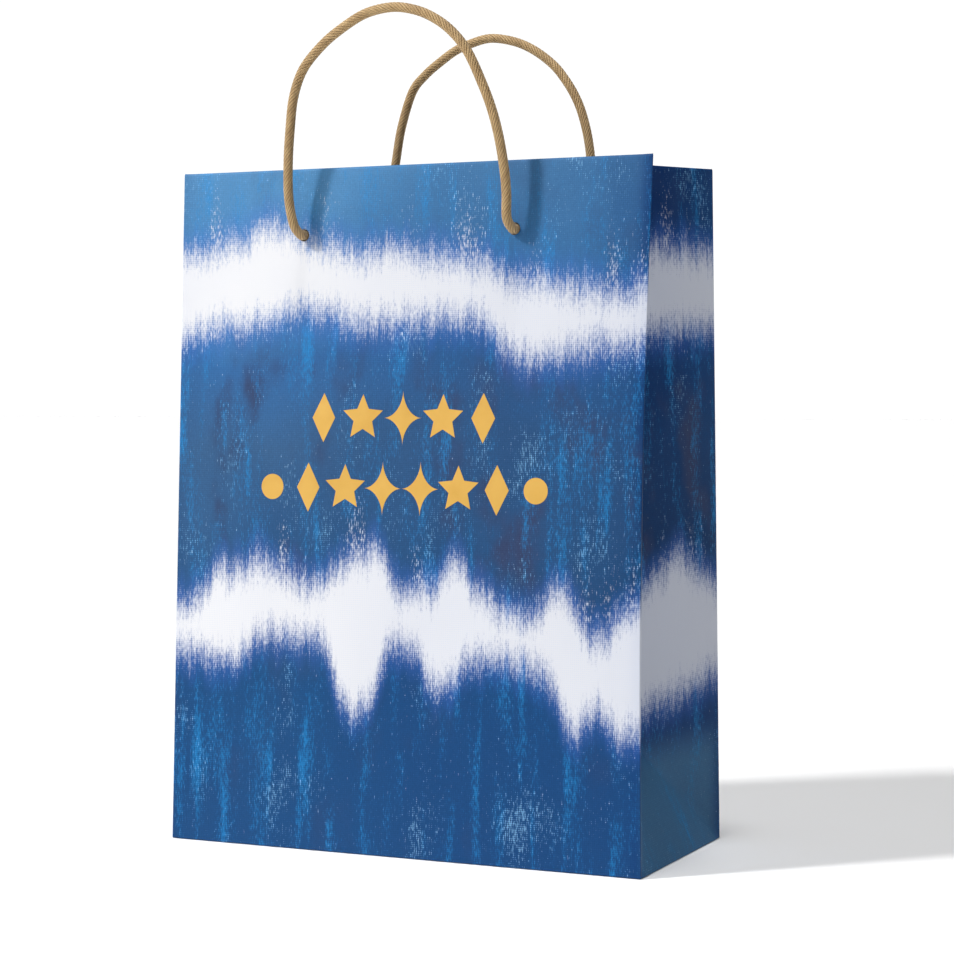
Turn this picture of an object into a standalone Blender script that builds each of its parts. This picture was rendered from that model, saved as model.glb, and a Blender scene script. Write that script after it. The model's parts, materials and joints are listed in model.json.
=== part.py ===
"""Paper gift bag with two rope handles, as an assembly of separate folded panels.

World frame: +Z up, origin on the floor under the middle of the bag, front wall facing -Y.
The bag stands with its mouth slightly pinched: both walls lean in and the side gussets fold in.
Each wall turns about its bottom crease, each gusset half about its bottom corner, and each
rope handle about two axes just outside its holes, where the rope bends.
"""

import math

import bmesh
import bpy
from mathutils import Matrix, Vector

# Driving dimensions, in metres
WIDTH = 0.241
DEPTH = 0.109
HEIGHT = 0.320
TOP_DEPTH = 0.0814
PAPER = 0.0005
CARD = 0.0008
BOARD = 0.0012
GAP = 0.0003
HEM_DEPTH = 0.038
ROPE_DIAMETER = 0.0045
HOLE_SPACING = 0.1084
HOLE_BELOW_TOP = 0.0314
HOLE_DIAMETER = 0.0058
HOLE_SEGMENTS = 24
CUTTER_LENGTH = 0.02

# Inside the mouth: card and hem stop short of the wall's corners, and the card short of the hem's
# ends. The glue flap's strip is measured from the wall's corner, and its ends from foot and hem
LAYER_INSET = 0.004
CARD_BELOW_MOUTH = 0.001
CARD_ABOVE_HEM_EDGE = 0.003
SEAM_NEAR = 0.003
SEAM_FAR = 0.018
SEAM_FOOT = 0.004
SEAM_BELOW_HEM = 0.002

# Gusset: how far its centre crease stands in from the side at the apex and at the mouth
APEX_RECESS = 0.022
MOUTH_RECESS = 0.026
GUSSET_ROWS = 5
CORNER_GAP = 0.0012

# Bottom: the outer flap is glued over the inner one, which steps down past its edge
OUTER_FLAP_EDGE = 0.024
INNER_FLAP_EDGE = -0.030
STEP_RUN = (0.0250, 0.0270)
SIDE_FLAP_REACH = 0.040
SIDE_FLAP_INSET = 0.0025
BOARD_INSET = 0.003

# Rope: the first pivot stands this far out of the wall, and the second one bend further on
PIVOT_OUT = 0.0030
BEND_LENGTH = 0.0065
BEND_ANGLE = math.radians(45)
ROPE_SPACING = 0.0045
ROPE_BEVEL_STEPS = 2
CURVE_STEPS = 12

# Ball end of a rope piece: share of the rope's radius along it, and radius factor
BALL_END = [(-1.0, 0.12), (-0.92, 0.39), (-0.7, 0.71), (-0.38, 0.92)]

# Knot: metres into the bag from its seat on the hem, metres up, and radius factor
KNOT_PROFILE = [
    (-0.0008, 0.0, 1.0), (0.0, 0.0, 1.5), (0.0012, 0.0, 2.15), (0.0032, 0.0, 2.5),
    (0.0054, 0.0002, 2.35), (0.0070, -0.0006, 1.8), (0.0078, -0.0022, 1.25), (0.0082, -0.0050, 1.0),
    (0.0080, -0.0100, 1.0), (0.0075, -0.0140, 0.95),
]

# Handle centrelines: metres across, and up from the second pivot; the lean is the apex's run out
FRONT_ARCH = [
    (-0.0554, 0.0), (-0.0574, 0.012), (-0.0570, 0.028), (-0.0552, 0.044), (-0.0525, 0.059),
    (-0.0467, 0.0715), (-0.0362, 0.0818), (-0.0255, 0.0888), (-0.0136, 0.0944), (-0.001, 0.0964),
    (0.0094, 0.0951), (0.0193, 0.0913), (0.0289, 0.0845), (0.0370, 0.0745), (0.0440, 0.0593),
    (0.0484, 0.047), (0.0514, 0.034), (0.0533, 0.020), (0.0538, 0.010), (0.0536, 0.0),
]
BACK_ARCH = [
    (-0.0542, 0.0), (-0.0547, 0.012), (-0.0540, 0.026), (-0.0524, 0.040), (-0.0500, 0.056),
    (-0.0446, 0.0735), (-0.0376, 0.0817), (-0.0295, 0.0879), (-0.0214, 0.093), (-0.0133, 0.096),
    (-0.0021, 0.0981), (0.0113, 0.0955), (0.0223, 0.0903), (0.0323, 0.0827), (0.0390, 0.0749),
    (0.0446, 0.0662), (0.0486, 0.0571), (0.0521, 0.0446), (0.0542, 0.030), (0.0547, 0.013),
    (0.0543, 0.0),
]
ARCH_LEAN = 0.008

# Derived
LEAN = math.atan((DEPTH - TOP_DEPTH) / 2 / HEIGHT)
HINGE_HEIGHT = PAPER + GAP
WALL_LENGTH = (HEIGHT - HINGE_HEIGHT) / math.cos(LEAN)
HOLE_HEIGHT = WALL_LENGTH - HOLE_BELOW_TOP
GUSSET_FOOT = 0.0010
APEX_HEIGHT = math.sqrt((DEPTH / 2) ** 2 - APEX_RECESS**2)
CARD_CENTRE = PAPER / 2 + GAP + CARD / 2
HEM_CENTRE = CARD_CENTRE + CARD / 2 + GAP + PAPER / 2
ROPE_RADIUS = ROPE_DIAMETER / 2
ROPE_CLEARANCE = ROPE_RADIUS + GAP

PRINT_BLUE = (0.10, 0.26, 0.55, 1)
PAPER_WHITE = (0.86, 0.86, 0.84, 1)
BOARD_GREY = (0.55, 0.53, 0.50, 1)
ROPE_TAN = (0.50, 0.36, 0.20, 1)
SHEET_ROUGHNESS = 0.5
ROPE_ROUGHNESS = 0.75


def clear_scene():
    for obj in list(bpy.data.objects):
        bpy.data.objects.remove(obj)


def material(name, colour, roughness):
    made = bpy.data.materials.new(name)
    made.use_nodes = True
    shader = made.node_tree.nodes["Principled BSDF"]
    shader.inputs["Base Color"].default_value = colour
    shader.inputs["Roughness"].default_value = roughness
    shader.inputs["Metallic"].default_value = 0.0
    return made


def collection(name):
    made = bpy.data.collections.new(name)
    bpy.context.scene.collection.children.link(made)
    return made


def place(name, data, into, colour, parent=None):
    """An object for data, in a collection, with a material, under an optional parent."""
    obj = bpy.data.objects.new(name, data)
    into.objects.link(obj)
    if colour:
        roughness = ROPE_ROUGHNESS if colour == ROPE_TAN else SHEET_ROUGHNESS
        obj.data.materials.append(material(name + "_finish", colour, roughness))
    obj.parent = parent
    return obj


def empty(name, into, location, rotation):
    obj = place(name, None, into, None)
    obj.location = location
    obj.rotation_euler = rotation
    return obj


def mesh_from(bm, name):
    mesh = bpy.data.meshes.new(name)
    bm.to_mesh(mesh)
    bm.free()
    return mesh


def box_mesh(name, low, high):
    bm = bmesh.new()
    size = Vector(high) - Vector(low)
    middle = (Vector(high) + Vector(low)) / 2
    bmesh.ops.create_cube(bm, size=1, matrix=Matrix.LocRotScale(middle, None, size))
    return mesh_from(bm, name)


def solidify(obj, thickness, offset):
    shell = obj.modifiers.new("paper", "SOLIDIFY")
    shell.thickness = thickness
    shell.offset = offset
    shell.use_even_offset = True


def drill(obj, cutter):
    cut = obj.modifiers.new("rope_holes", "BOOLEAN")
    cut.operation = "DIFFERENCE"
    cut.object = cutter


def hole_cutter(name, into, parent):
    """Two round cutters through the wall, one for each end of its rope."""
    bm = bmesh.new()
    for side in (-1, 1):
        centre = Vector((side * HOLE_SPACING / 2, 0, HOLE_HEIGHT))
        turn = Matrix.Rotation(math.pi / 2, 4, "X")
        bmesh.ops.create_cone(
            bm, cap_ends=True, segments=HOLE_SEGMENTS, radius1=HOLE_DIAMETER / 2,
            radius2=HOLE_DIAMETER / 2, depth=CUTTER_LENGTH, matrix=Matrix.Translation(centre) @ turn)
    obj = place(name, mesh_from(bm, name), into, None, parent)
    obj.hide_render = True
    obj.display_type = "WIRE"
    return obj


def smooth_route(points, spacing):
    """Evenly spaced points along a Catmull-Rom curve through the given points."""
    ends = [points[0] * 2 - points[1]] + points + [points[-1] * 2 - points[-2]]
    fine = []
    for a, b, c, d in zip(ends, ends[1:], ends[2:], ends[3:]):
        for step in range(CURVE_STEPS):
            t = step / CURVE_STEPS
            fine.append(0.5 * (2 * b + (c - a) * t + (2 * a - 5 * b + 4 * c - d) * t**2
                               + (3 * b - a - 3 * c + d) * t**3))
    fine.append(points[-1])
    reach = [0.0]
    for a, b in zip(fine, fine[1:]):
        reach.append(reach[-1] + (b - a).length)
    count = round(reach[-1] / spacing)
    route, piece = [], 0
    for i in range(count + 1):
        at = reach[-1] * i / count
        while piece < len(fine) - 2 and reach[piece + 1] < at:
            piece += 1
        share = (at - reach[piece]) / (reach[piece + 1] - reach[piece])
        route.append(fine[piece].lerp(fine[piece + 1], share))
    return route


def round_end(tip, direction):
    """Points and radius factors of a ball end about tip, for a tube that runs on along direction."""
    points = [tip + direction * (along * ROPE_RADIUS) for along, _ in BALL_END]
    return points, [factor for _, factor in BALL_END]


def rope(name, points, factors, into, parent=None):
    """A rope solid along points, its radius scaled at each by its factor."""
    curve = bpy.data.curves.new(name, "CURVE")
    curve.dimensions = "3D"
    curve.bevel_depth = ROPE_RADIUS
    curve.bevel_resolution = ROPE_BEVEL_STEPS
    curve.use_fill_caps = True
    spline = curve.splines.new("POLY")
    spline.points.add(len(points) - 1)
    for control, point, factor in zip(spline.points, points, factors):
        control.co = (*point, 1)
        control.radius = factor
    return place(name, curve, into, ROPE_TAN, parent)


def wall(prefix, into, cutters, hinge):
    """One wide wall under its hinge: outer sheet, reinforcing card and turned-in hem.
    In the hinge's frame +Z runs up the wall and +Y into the bag."""
    half = WIDTH / 2
    inner = half - LAYER_INSET
    cutter = hole_cutter(prefix + "_hole_cutter", cutters, hinge)
    layers = (
        ("_panel", PRINT_BLUE, half, 0.0, WALL_LENGTH, 0.0, PAPER),
        ("_card", BOARD_GREY, inner, WALL_LENGTH - HEM_DEPTH + CARD_ABOVE_HEM_EDGE,
         WALL_LENGTH - CARD_BELOW_MOUTH, CARD_CENTRE, CARD),
        ("_hem", PRINT_BLUE, inner, WALL_LENGTH - HEM_DEPTH, WALL_LENGTH, HEM_CENTRE, PAPER),
    )
    for suffix, colour, reach, low, high, centre, thickness in layers:
        name = prefix + suffix
        mesh = box_mesh(name, (-reach, centre - thickness / 2, low),
                        (reach, centre + thickness / 2, high))
        drill(place(name, mesh, into, colour, hinge), cutter)


def seam_flap(into, hinge):
    """The glue flap that closes the wrap, on the back wall's inner face beside the left corner."""
    centre = PAPER + GAP
    low = (WIDTH / 2 - SEAM_FAR, centre - PAPER / 2, SEAM_FOOT)
    high = (WIDTH / 2 - SEAM_NEAR, centre + PAPER / 2, WALL_LENGTH - HEM_DEPTH - SEAM_BELOW_HEM)
    place("side_seam_flap", box_mesh("side_seam_flap", low, high), into, PRINT_BLUE, hinge)


def knot_end(name, side, into, hinge):
    """A rope end: a short stub out of its hole, a knot against the hem, and the tail hanging."""
    x = side * HOLE_SPACING / 2
    stub = -PAPER / 2 - PIVOT_OUT + ROPE_CLEARANCE
    seat = HEM_CENTRE + PAPER / 2 + GAP
    profile = [(stub, 0.0, 1.0)] + [(seat + y, z, factor) for y, z, factor in KNOT_PROFILE]
    points = [Vector((x, y, HOLE_HEIGHT + z)) for y, z, _ in profile]
    rope(name, points, [factor for _, _, factor in profile], into, hinge)


def rope_bend(name, first, second, into):
    """The short stretch of rope between its two pivots, with a ball at the first."""
    direction = (second - first).normalized()
    points, factors = round_end(first, direction)
    stop = second - direction * ROPE_CLEARANCE
    points += [first, first.lerp(stop, 0.5), stop]
    rope(name, points, factors + [1.0] * 3, into)


def arch(name, route, into):
    """The loop of a handle, with a ball end at each of its two pivots."""
    start, start_factors = round_end(route[0], (route[1] - route[0]).normalized())
    end, end_factors = round_end(route[-1], (route[-2] - route[-1]).normalized())
    points = start + route + end[::-1]
    factors = start_factors + [1.0] * len(route) + end_factors[::-1]
    rope(name, points, factors, into)


def handle(prefix, outline, outward, into, hinge):
    """A rope handle: two knotted ends on the wall, two bends and the loop.
    outward is -1 for the front wall and 1 for the back wall, along Y."""
    hole_y = outward * (DEPTH / 2 - PAPER / 2 - HOLE_HEIGHT * math.sin(LEAN)
                        + PAPER / 2 * math.cos(LEAN))
    hole_z = HINGE_HEIGHT + HOLE_HEIGHT * math.cos(LEAN)
    first_y = hole_y + outward * PIVOT_OUT
    second_y = first_y + outward * BEND_LENGTH * math.cos(BEND_ANGLE)
    second_z = hole_z + BEND_LENGTH * math.sin(BEND_ANGLE)
    apex = max(up for _, up in outline)
    points = [Vector((x, second_y + outward * ARCH_LEAN * up / apex, second_z + up))
              for x, up in outline]
    arch(prefix + "_handle", smooth_route(points, ROPE_SPACING), into)
    for label, side, tip in (("_left", -1, points[0]), ("_right", 1, points[-1])):
        first = Vector((side * HOLE_SPACING / 2, first_y, hole_z))
        rope_bend(prefix + label + "_rope_bend", first, tip, into)
        knot_end(prefix + label + "_knot", side * -outward, into, hinge)


def gusset_rows(low_share, high_share):
    """Corner-edge and centre-crease points of the front right half, between two shares of its height."""
    foot = Vector((WIDTH / 2, -DEPTH / 2 + CORNER_GAP, GUSSET_FOOT))
    top = Vector((WIDTH / 2, -TOP_DEPTH / 2 + CORNER_GAP, HEIGHT))
    apex = Vector((WIDTH / 2 - APEX_RECESS, -GAP / 2, APEX_HEIGHT))
    mouth = Vector((WIDTH / 2 - MOUTH_RECESS, -GAP / 2, HEIGHT))
    shares = [low_share + (high_share - low_share) * i / GUSSET_ROWS for i in range(GUSSET_ROWS + 1)]
    return [foot.lerp(top, s) for s in shares], [apex.lerp(mouth, s) for s in shares]


def gusset_half(name, side, face, into, hem=False):
    """Half of a side gusset: the twisted upper panel and half of the bottom triangle below its
    diagonal crease, or with hem the layer turned in behind its top. side and face are the signs
    of X and Y."""
    edge, crease = gusset_rows(1 - HEM_DEPTH / HEIGHT if hem else 0.0, 1.0)
    bm = bmesh.new()
    edge_verts = [bm.verts.new(p) for p in edge]
    crease_verts = [bm.verts.new(p) for p in crease]
    for i in range(GUSSET_ROWS):
        bm.faces.new((edge_verts[i], crease_verts[i], crease_verts[i + 1], edge_verts[i + 1]))
    if not hem:
        middle = bm.verts.new((WIDTH / 2, -GAP / 2, GUSSET_FOOT))
        bm.faces.new((edge_verts[0], middle, crease_verts[0]))
    bm.normal_update()
    if hem:
        for vert in bm.verts:
            vert.co -= vert.normal * (PAPER + GAP)
            vert.co.x -= GAP
    bmesh.ops.transform(bm, matrix=Matrix.Diagonal((side, face, 1, 1)), verts=bm.verts)
    if side * face < 0:
        bmesh.ops.reverse_faces(bm, faces=bm.faces)
    obj = place(name, mesh_from(bm, name), into, PRINT_BLUE)
    solidify(obj, PAPER, -1)


def inner_flap(into):
    """The flap folded in from the back wall: it steps up over the outer flap's edge."""
    low, high = PAPER / 2, PAPER * 1.5 + GAP
    profile = [(DEPTH / 2, low), (STEP_RUN[1], low), (STEP_RUN[0], high), (INNER_FLAP_EDGE, high)]
    bm = bmesh.new()
    reach = WIDTH / 2 - BOARD_INSET
    left = [bm.verts.new((-reach, y, z)) for y, z in profile]
    right = [bm.verts.new((reach, y, z)) for y, z in profile]
    for i in range(len(profile) - 1):
        bm.faces.new((left[i], left[i + 1], right[i + 1], right[i]))
    obj = place("bottom_inner_flap", mesh_from(bm, "bottom_inner_flap"), into, PRINT_BLUE)
    solidify(obj, PAPER, 0)


def side_flap(name, side, into):
    """A tapered flap folded in under the base board from a gusset's foot."""
    curve = bpy.data.curves.new(name, "CURVE")
    curve.dimensions = "2D"
    curve.fill_mode = "BOTH"
    curve.extrude = PAPER / 2
    outer, inner = WIDTH / 2 - SIDE_FLAP_INSET, WIDTH / 2 - SIDE_FLAP_REACH
    wide, narrow = DEPTH / 2 - SIDE_FLAP_INSET, DEPTH / 2 - SIDE_FLAP_REACH
    outline = [(outer, -wide), (outer, wide), (inner, narrow), (inner, -narrow)]
    spline = curve.splines.new("POLY")
    spline.points.add(len(outline) - 1)
    spline.use_cyclic_u = True
    for control, (x, y) in zip(spline.points, outline):
        control.co = (side * x, y, 0, 1)
    obj = place(name, curve, into, PRINT_BLUE)
    obj.location.z = PAPER * 2.5 + 2 * GAP


def base_board(into):
    low_z = 3 * (PAPER + GAP)
    reach_x, reach_y = WIDTH / 2 - BOARD_INSET, DEPTH / 2 - BOARD_INSET
    mesh = box_mesh("base_board", (-reach_x, -reach_y, low_z), (reach_x, reach_y, low_z + BOARD))
    place("base_board", mesh, into, PAPER_WHITE)


def bottom(into):
    mesh = box_mesh("bottom_outer_flap", (-WIDTH / 2, -DEPTH / 2, 0),
                    (WIDTH / 2, OUTER_FLAP_EDGE, PAPER))
    place("bottom_outer_flap", mesh, into, PRINT_BLUE)
    inner_flap(into)
    side_flap("bottom_left_flap", -1, into)
    side_flap("bottom_right_flap", 1, into)
    base_board(into)


def build():
    clear_scene()
    parts, cutters = collection("gift_bag"), collection("cutters")
    bottom(parts)
    hinge_y = DEPTH / 2 - PAPER / 2
    front = empty("front_wall_hinge", parts, (0, -hinge_y, HINGE_HEIGHT), (-LEAN, 0, 0))
    back = empty("back_wall_hinge", parts, (0, hinge_y, HINGE_HEIGHT), (-LEAN, 0, math.pi))
    wall("front", parts, cutters, front)
    wall("back", parts, cutters, back)
    seam_flap(parts, back)
    for side, side_name in ((-1, "left"), (1, "right")):
        for face, face_name in ((-1, "rear"), (1, "front")):
            name = f"{side_name}_{face_name}_gusset"
            gusset_half(name, side, face, parts)
            gusset_half(name + "_hem", side, face, parts, hem=True)
    handle("front", FRONT_ARCH, -1, parts, front)
    handle("back", BACK_ARCH, 1, parts, back)


build()
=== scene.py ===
"""Looks of a printed paper gift bag with two rope handles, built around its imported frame.

The bag's paper is one folded sheet. shell() turns two paper coordinates into a point on the
sheet's printed side: `around`, metres along the bag's perimeter from the middle of the front
wall to the right, and `up`, metres from the bottom fold, over the mouth and down into the hem.
Every paper piece is a patch of that sheet, so neighbouring pieces meet exactly.
"""
import json
import math

import bmesh
import bpy
import numpy as np
from mathutils import Matrix, Vector


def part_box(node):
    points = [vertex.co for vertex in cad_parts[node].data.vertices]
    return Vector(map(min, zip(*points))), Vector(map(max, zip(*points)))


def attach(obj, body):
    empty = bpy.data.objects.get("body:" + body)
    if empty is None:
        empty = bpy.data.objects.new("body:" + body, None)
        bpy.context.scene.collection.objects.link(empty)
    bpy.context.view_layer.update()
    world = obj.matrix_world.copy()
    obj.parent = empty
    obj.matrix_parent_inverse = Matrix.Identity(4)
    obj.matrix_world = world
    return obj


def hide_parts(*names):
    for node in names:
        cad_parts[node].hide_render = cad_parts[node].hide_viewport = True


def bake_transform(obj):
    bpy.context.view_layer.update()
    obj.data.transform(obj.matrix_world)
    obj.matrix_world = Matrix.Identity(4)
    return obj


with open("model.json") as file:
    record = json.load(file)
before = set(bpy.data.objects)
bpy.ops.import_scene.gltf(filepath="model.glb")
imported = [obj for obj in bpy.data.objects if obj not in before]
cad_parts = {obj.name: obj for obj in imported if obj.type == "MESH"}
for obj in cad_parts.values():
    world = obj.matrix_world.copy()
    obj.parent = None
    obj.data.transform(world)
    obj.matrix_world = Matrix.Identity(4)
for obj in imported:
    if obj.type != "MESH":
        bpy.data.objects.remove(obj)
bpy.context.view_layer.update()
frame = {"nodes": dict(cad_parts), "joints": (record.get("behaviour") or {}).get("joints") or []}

# The bag, in metres, read from the frame where a node or a joint gives it
front_low, front_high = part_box("front_panel")
WIDTH = front_high[0] - front_low[0]
DEPTH = -2 * front_low[1]
HEIGHT = front_high[2]
TOP_DEPTH = 0.0814
CAD_PAPER = 0.0005
HINGE_Y = DEPTH / 2 - CAD_PAPER / 2
HINGE_Z = 0.0008
LEAN = math.atan((DEPTH - TOP_DEPTH) / 2 / HEIGHT)
WALL_LENGTH = HINGE_Z + (HEIGHT - HINGE_Z) / math.cos(LEAN)
HEM_DEPTH = 0.038
HOLE_SPACING = 0.1084
HOLE_UP = WALL_LENGTH - 0.0314
HOLE_DIAMETER = 0.0058
APEX_RECESS = 0.022
MOUTH_RECESS = 0.026
APEX_UP = DEPTH / 2
APEX_Z = math.sqrt(APEX_UP**2 - APEX_RECESS**2)
PERIMETER = 2 * (WIDTH + DEPTH)

# The paper and its folds
PAPER = 0.0003
FOLD_RADIUS = 0.0008
MOUTH_RISE = 0.0012
CORNER_STRIP = 0.0015
WALL_HEM_GAP = 0.0024
GUSSET_HEM_GAP = 0.0013
CORNER_HEM_GAP = 0.00065
HEM_GAP_RUN = 0.004
WALL_BOW = 0.0014
DENT = 0.00035
RIGHT_EDGE_BOW = 0.0025
REAR_EDGE_BOW = 0.0010
GUSSET_BOW = 0.0015
CELL = 0.004
CREASE_ANGLE = math.radians(50)
PUNCH_SEGMENTS = 40
PUNCH_DEPTH = 0.01

# Bottom flaps, base board and seam flap
OUTER_FLAP_REACH = DEPTH / 2 + 0.024
INNER_FLAP_REACH = DEPTH / 2 + 0.030
INNER_FLAP_STEP = (DEPTH / 2 - 0.027, DEPTH / 2 - 0.025)
SIDE_FLAP_REACH = 0.040
BOARD_CORNER = 0.003
BOARD_BEVEL = 0.0002
SEAM_RUN = (WIDTH / 2 - 0.018, WIDTH / 2 - 0.003)
SEAM_DEPTHS = (-2.3 * PAPER, -1.1 * PAPER)
SEAM_FOOT, SEAM_HEM_GAP = 0.004, 0.002
END_FLAP_RAMP = 0.004
FLAP_CELL = 0.006
FLAP_SHRINK = 0.0002

# Gold foil: how far each patch stands out of the paper and reaches into it
FOIL_TOP, FOIL_FOOT = 0.00006, -0.00002
STAR_NOTCH = 0.235
SPARKLE_PINCH = 3.4

# Rope: its handle centrelines are metres across, and up from the second pivot. START_SIDE is any
# direction that doesn't run along the rope's first step.
ROPE_RADIUS = 0.00225
FRONT_ARCH = [
    (-0.0554, 0.0), (-0.0574, 0.012), (-0.0570, 0.028), (-0.0552, 0.044), (-0.0525, 0.059),
    (-0.0467, 0.0715), (-0.0362, 0.0818), (-0.0255, 0.0888), (-0.0136, 0.0944), (-0.001, 0.0964),
    (0.0094, 0.0951), (0.0193, 0.0913), (0.0289, 0.0845), (0.0370, 0.0745), (0.0440, 0.0593),
    (0.0484, 0.047), (0.0514, 0.034), (0.0533, 0.020), (0.0538, 0.010), (0.0536, 0.0),
]
BACK_ARCH = [
    (-0.0542, 0.0), (-0.0547, 0.012), (-0.0540, 0.026), (-0.0524, 0.040), (-0.0500, 0.056),
    (-0.0446, 0.0735), (-0.0376, 0.0817), (-0.0295, 0.0879), (-0.0214, 0.093), (-0.0133, 0.096),
    (-0.0021, 0.0981), (0.0113, 0.0955), (0.0223, 0.0903), (0.0323, 0.0827), (0.0390, 0.0749),
    (0.0446, 0.0662), (0.0486, 0.0571), (0.0521, 0.0446), (0.0542, 0.030), (0.0547, 0.013),
    (0.0543, 0.0),
]
ARCH_LEAN = 0.008
HOLE_STUB = (0.0010, -0.0012)
CURVE_STEPS = 16
RING_STEP = 0.0008
STRANDS = 9
STRAND_POINTS = 6
TWIST_PITCH = 0.0185
GROOVE, GROOVE_POWER = 0.10, 2.6
FRAY, FRAY_RINGS = 0.16, 1.6
STRAND_ANGLE = math.radians(62)
START_SIDE = (0.3, 0.8, 0.5)
ROPE_LAP = 2 * math.pi * ROPE_RADIUS

# Knot: a loose overhand knot, drawn with KNOT_POINTS points, is pulled tight in KNOT_TURNS turns.
# Its lead runs to point KNOT_LEAD, and the knot itself starts at point KNOT_ENTRY.
KNOT_START = 0.0024
KNOT_POINTS, KNOT_STEP, KNOT_TURNS = 84, 0.00085, 420
KNOT_LEAD, KNOT_ENTRY, TAIL_POINTS = 16, 24, 9
KNOT_SPAN, KNOT_SIZE, KNOT_SQUASH = 2.15, 0.005, 0.6
KNOT_NEAR = 2.6 * ROPE_RADIUS
KNOT_CONTACT = 2 * ROPE_RADIUS * 0.97
PULL_SHARE, SMOOTHING, STIFFNESS, PUSH = 0.6, 0.12, 0.9, 0.35
SWEEPS = 4
HANGING_POINTS, HANGING_PULL, TAIL_DROOP = 12, 0.00004, 0.25

# Camera and lights, and the backdrop's strength as a light and as the camera sees it
CAMERA_PLACE = (0.48430, -1.03275, 0.21302)
CAMERA_AIM = (-0.41243, 0.91035, -0.03414)
FOCAL_LENGTH, SENSOR_WIDTH = 89.74, 36
SOFT_BOX_PLACE, SOFT_BOX_TARGET = (-0.74, -0.76, 0.66), (-0.10, 0, 0.27)
BACKDROP_LIGHT, BACKDROP_SEEN = 0.03, 1.05
FLOOR_REACH, FLOOR_DROP = 20, 0.0002


# ---------------------------------------------------------------- paper shape

def wall_point(face, x, up):
    """A point on a wide wall's printed side. face is -1 for the front and 1 for the back wall, and
    x runs to the right as seen from outside. Crossed waves give the wall its shallow dents."""
    height = up / WALL_LENGTH
    free = np.clip(up / (WALL_LENGTH - HEM_DEPTH), 0, 1)
    arch = 4 * free * (1 - free)
    across = 1 - (2 * x / WIDTH) ** 2
    dent = (np.sin(41 * x + 19 * up + 0.7 + face) * np.sin(27 * up - 15 * x + 1.9)
            + 0.5 * np.sin(83 * x - 52 * up + 2.1))
    bow = (WALL_BOW + DENT * dent) * arch * across
    edge = RIGHT_EDGE_BOW if face < 0 else REAR_EDGE_BOW
    bend = np.sin(math.pi * np.clip(height, 0, 1)) * (2 * x / WIDTH) ** 2
    x = x - edge * bend * np.where(x > 0, 1, 0)
    y, z = -CAD_PAPER / 2 - bow, np.maximum(up, 0) - HINGE_Z
    tilted_y = y * math.cos(LEAN) + z * math.sin(LEAN) - np.minimum(up, 0)
    tilted_z = z * math.cos(LEAN) - y * math.sin(LEAN)
    turn = -face
    return np.stack([turn * x, turn * (tilted_y - HINGE_Y), tilted_z + HINGE_Z], axis=-1)


def gusset_point(side, run, up):
    """A point on a side gusset's printed side. side is the sign of X, and run goes from -1 at the
    front corner through 0 at the centre crease to 1 at the rear corner."""
    inward = 1 - np.abs(run)
    front = np.where(run < 0, 1, 0)[..., None]
    edge = WIDTH / 2 * side

    def corner(at):
        x = np.full_like(at, edge)
        return front * wall_point(-1, x, at) + (1 - front) * wall_point(1, -x, at)

    def point(x, z):
        return np.stack(np.broadcast_arrays(x, 0.0, z), axis=-1).astype(float)

    # Above the bottom triangle: from the wall's corner to the centre crease, swollen in between
    along = (up - inward * APEX_UP) / (WALL_LENGTH - inward * APEX_UP)
    recess = APEX_RECESS + (MOUTH_RECESS - APEX_RECESS) * along
    crease = point(side * (WIDTH / 2 - recess), APEX_Z + (HEIGHT - APEX_Z) * along)
    share = inward[..., None]
    upper = corner(along * WALL_LENGTH) * (1 - share) + crease * share
    swell = np.clip(along, 0, 1)
    upper[..., 0] += side * GUSSET_BOW * 4 * swell * (1 - swell) * 4 * inward * (1 - inward)

    # The bottom triangle: flat, from the foot up to the apex, where the creases meet
    low = corner(np.zeros_like(up))
    foot = point(np.full_like(up, edge), low[..., 2])
    apex = point(side * (WIDTH / 2 - APEX_RECESS), APEX_Z)
    rise = np.maximum(up, 0)[..., None] / APEX_UP
    lower = low + share * (foot - low) + rise * (apex - foot)
    lower[..., 0] += side * np.minimum(up, 0)
    return np.where((up >= inward * APEX_UP)[..., None] & (up >= 0)[..., None], upper, lower)


def sharp_shell(around, up):
    """The folded sheet with knife-sharp folds."""
    around = (around + WIDTH / 2 + DEPTH) % PERIMETER - WIDTH / 2 - DEPTH
    corner = WIDTH / 2
    panels = (
        (around < -corner, lambda a, u: gusset_point(-1, -1 - (a + corner) / (DEPTH / 2), u)),
        (np.abs(around) <= corner, lambda a, u: wall_point(-1, a, u)),
        ((around > corner) & (around <= corner + DEPTH),
         lambda a, u: gusset_point(1, (a - corner) / (DEPTH / 2) - 1, u)),
        (around > corner + DEPTH, lambda a, u: wall_point(1, a - WIDTH - DEPTH, u)),
    )
    shape = np.empty(around.shape + (3,))
    for inside, panel in panels:
        if inside.any():
            shape[inside] = panel(around[inside], up[inside])
    return shape


def soft_shell(around, up):
    """The folded sheet with every fold rounded, as a weighted mean of points nearby."""
    total, weights = 0, 0
    for step, weight in ((-1, 1), (-0.5, 2), (0, 2), (0.5, 2), (1, 1)):
        for rise, share in ((-0.7, 1), (0, 2), (0.7, 1)):
            total = total + weight * share * sharp_shell(around + step * FOLD_RADIUS,
                                                         up + rise * FOLD_RADIUS)
            weights += weight * share
    return total / weights


def normals(surface, around, up, reach=0.0002):
    """Unit normals of a surface, on its printed side."""
    across = surface(around + reach, up) - surface(around - reach, up)
    along = surface(around, up + reach) - surface(around, up - reach)
    normal = np.cross(across, along)
    return normal / np.linalg.norm(normal, axis=-1, keepdims=True)


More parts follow.
